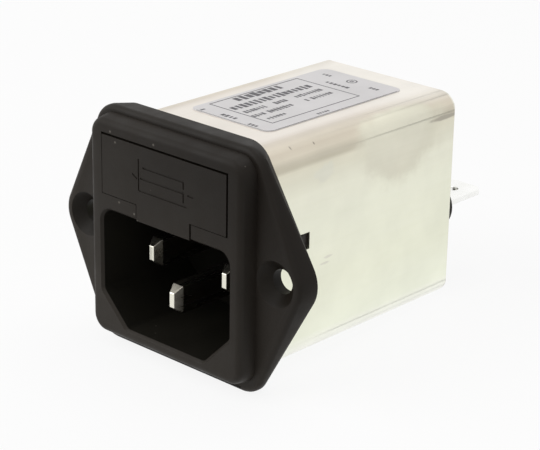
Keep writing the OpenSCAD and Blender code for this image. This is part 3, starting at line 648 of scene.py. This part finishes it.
def silver_film():
    made, tree, shader, place = surface("silver_film")
    tree.links.new(between(tree, mottle(tree, place, 150, 0, 1), (0.70, 0.68, 0.68, 1),
                           (0.65, 0.63, 0.63, 1)), shader.inputs["Base Color"])
    tree.links.new(mottle(tree, place, 500, 0.34, 0.48), shader.inputs["Roughness"])
    shape_grain(tree, shader, mottle(tree, place, 3000, 0, 1), 0.003 * MM)
    return made


def print_ink():
    made, tree, shader, place = surface("grey_ink")
    tree.links.new(between(tree, mottle(tree, place, 2500, 0, 1), (0.050, 0.048, 0.053, 1),
                           (0.105, 0.100, 0.108, 1)), shader.inputs["Base Color"])
    tree.links.new(mottle(tree, place, 900, 0.4, 0.6), shader.inputs["Roughness"])
    return made


dress("label", "filter", silver_film(), 0.03 * MM)
label_low, label_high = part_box("label")
print_top = label_high.z + 0.004 * MM
ink = print_ink()


def dash_tree():
    """Geometry nodes: a row of upright dashes of random width and height."""
    tree = bpy.data.node_groups.new("dash_row", "GeometryNodeTree")
    for name, kind, value in (("Length", "Float", 10 * MM), ("Height", "Float", 1 * MM),
                              ("Pitch", "Float", 0.7 * MM), ("Seed", "Int", 1)):
        socket = tree.interface.new_socket(name, in_out="INPUT", socket_type="NodeSocket" + kind)
        socket.default_value = value
    tree.interface.new_socket("Ink", in_out="INPUT", socket_type="NodeSocketMaterial")
    tree.interface.new_socket("Geometry", in_out="OUTPUT", socket_type="NodeSocketGeometry")
    given = add(tree, "NodeGroupInput").outputs
    count = add(tree, "ShaderNodeMath", {0: given["Length"], 1: given["Pitch"]},
                operation="DIVIDE")
    whole = add(tree, "ShaderNodeMath", {0: count.outputs[0]}, operation="FLOOR")
    step = add(tree, "ShaderNodeCombineXYZ", {0: given["Pitch"]})
    line = add(tree, "GeometryNodeMeshLine", {"Count": whole.outputs[0],
               "Offset": step.outputs[0]})
    index = add(tree, "GeometryNodeInputIndex").outputs[0]

    def chance(low, high, salt):
        seed = add(tree, "ShaderNodeMath", {0: given["Seed"], 1: salt}, operation="ADD")
        value = add(tree, "FunctionNodeRandomValue", {2: low, 3: high, "ID": index,
                    "Seed": seed.outputs[0]}, data_type="FLOAT")
        return value.outputs[1]

    wide = add(tree, "ShaderNodeMath", {0: given["Pitch"], 1: chance(0.50, 0.86, 11)},
               operation="MULTIPLY")
    tall = add(tree, "ShaderNodeMath", {0: given["Height"], 1: chance(0.68, 1.0, 23)},
               operation="MULTIPLY")
    size = add(tree, "ShaderNodeCombineXYZ", {0: wide.outputs[0], 1: tall.outputs[0], 2: 1.0})
    dash = add(tree, "GeometryNodeMeshGrid", {"Size X": 1.0, "Size Y": 1.0, "Vertices X": 2,
               "Vertices Y": 2})
    kept = add(tree, "FunctionNodeCompare", {0: chance(0.0, 1.0, 37), 1: 0.06},
               data_type="FLOAT", operation="GREATER_THAN")
    placed = add(tree, "GeometryNodeInstanceOnPoints", {"Points": line.outputs[0],
                 "Selection": kept.outputs[0], "Instance": dash.outputs[0],
                 "Scale": size.outputs[0]})
    real = add(tree, "GeometryNodeRealizeInstances", {0: placed.outputs[0]})
    inked = add(tree, "GeometryNodeSetMaterial", {"Geometry": real.outputs[0],
                "Material": given["Ink"]})
    add(tree, "NodeGroupOutput", {0: inked.outputs[0]})
    return tree


def grown(tree, **values):
    """The plain mesh that a geometry tree makes from these inputs."""
    holder = bpy.data.objects.new("holder", bpy.data.meshes.new("holder"))
    bpy.context.scene.collection.objects.link(holder)
    grow = holder.modifiers.new("grow", "NODES")
    grow.node_group = tree
    for item in tree.interface.items_tree:
        if item.in_out == "INPUT" and item.name in values:
            grow[item.identifier] = values[item.name]
    mesh = bpy.data.meshes.new_from_object(
        holder.evaluated_get(bpy.context.evaluated_depsgraph_get()))
    bpy.data.objects.remove(holder)
    return mesh


def frame_line(shape, low, high, radius, width, first=0):
    """A flat round-cornered line between two corners, in millimetres. It runs from
    point number first of its ring: 20 leaves the front and the right edge alone."""
    rings = []
    for inset in (0, width):
        ring = []
        bend = max(radius - inset, 0.02)
        for quarter, (sx, sy) in enumerate(((1, 1), (-1, 1), (-1, -1), (1, -1))):
            cx = (high[0] - inset - bend) if sx > 0 else (low[0] + inset + bend)
            cy = (high[1] - inset - bend) if sy > 0 else (low[1] + inset + bend)
            for i in range(7):
                angle = math.radians(90 * quarter + 15 * i)
                ring.append(shape.verts.new(((cx + bend * math.cos(angle)) * MM,
                                             (cy + bend * math.sin(angle)) * MM, 0)))
        rings.append(ring)
    outer, inner = rings
    for i in range(first, len(outer)):
        j = (i + 1) % len(outer)
        shape.faces.new((outer[i], outer[j], inner[j], inner[i]))


# Each row: the middle of its start, its length, its height and its pitch, in
# millimetres from the label's front left corner. Rows inside the frame run along
# the case, the others across.
rows_along = (
    (1.95, 7.2, 9.9, 1.90, 1.20), (4.55, 3.9, 17.0, 1.75, 0.95),
    (6.85, 4.0, 4.5, 1.10, 0.62), (6.85, 10.0, 3.0, 1.10, 0.62),
    (6.85, 14.3, 5.8, 1.10, 0.62), (8.90, 3.5, 8.4, 1.10, 0.62),
    (8.90, 14.2, 6.1, 1.10, 0.62), (11.00, 4.2, 4.2, 0.80, 0.62),
    (14.20, 10.7, 2.6, 0.65, 0.50),
)
rows_across = (
    (1.7, 0.85, 1.3, 0.9, 0.60), (5.2, 1.20, 3.5, 0.9, 0.75), (10.7, 0.80, 1.9, 0.8, 0.60),
    (1.9, 25.65, 1.9, 0.6, 0.60), (4.9, 23.00, 4.9, 0.75, 0.75), (11.1, 25.3, 1.9, 0.7, 0.60),
)
label_w = (label_high.x - label_low.x) / MM
label_l = (label_high.y - label_low.y) / MM
edge_gap = 0.04
front_and_right_edge_shade = 20
print_shape = bmesh.new()
# Painted shade: a dark line along the film's front and right edges.
frame_line(print_shape, (edge_gap, edge_gap), (label_w - edge_gap, label_l - edge_gap), 1.36,
           0.14, front_and_right_edge_shade)
frame_line(print_shape, (0.70, 3.20), (12.80, 21.30), 0.10, 0.20)
frame_line(print_shape, (6.50, 24.95), (8.20, 26.65), 0.85, 0.22)
frame_line(print_shape, (7.05, 25.50), (7.65, 26.10), 0.10, 0.20)
rows = dash_tree()
turned = Matrix.Rotation(math.radians(90), 4, "Z")
for seed, (x, y, length, height, pitch) in enumerate(rows_along + rows_across):
    strip = grown(rows, Length=length * MM, Height=height * MM, Pitch=pitch * MM, Seed=seed,
                  Ink=ink)
    first = min(v.co.x for v in strip.vertices)
    strip.transform(Matrix.Translation((-first, 0, 0)))
    turn = turned if seed < len(rows_along) else Matrix.Identity(4)
    strip.transform(Matrix.Translation((x * MM, y * MM, 0)) @ turn)
    print_shape.from_mesh(strip)
    bpy.data.meshes.remove(strip)
print_mesh = bpy.data.meshes.new("label_print")
print_shape.to_mesh(print_mesh)
print_shape.free()
print_mesh.transform(Matrix.Translation((label_low.x, label_low.y, print_top)))
print_mesh.materials.clear()
print_mesh.materials.append(ink)
label_print = bpy.data.objects.new("label_print", print_mesh)
bpy.context.scene.collection.objects.link(label_print)
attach(label_print, "filter")

# ----------------------------------------------------------- rear terminals
# Three push-on blades of nickel-plated brass: two come out through black
# stepped bushings, and the third is riveted to the case as its earth. They are
# tinned to a silvery white.


def bright_tin():
    made, tree, shader, place = surface("bright_tin")
    shader.inputs["Metallic"].default_value = 1.0
    tree.links.new(between(tree, mottle(tree, place, 400, 0, 1), (0.96, 0.96, 0.94, 1),
                           (0.89, 0.89, 0.86, 1)), shader.inputs["Base Color"])
    tree.links.new(mottle(tree, place, 1500, 0.18, 0.32), shader.inputs["Roughness"])
    return made


tin = bright_tin()
for bushing in ("line_bushing", "neutral_bushing"):
    dress(bushing, "filter", black, 0.15 * MM)
for blade in ("line_tab", "neutral_tab", "earth_tab"):
    dress(blade, "filter", tin, 0.08 * MM)
dress("earth_rivet", "filter", tin, 0.18 * MM)
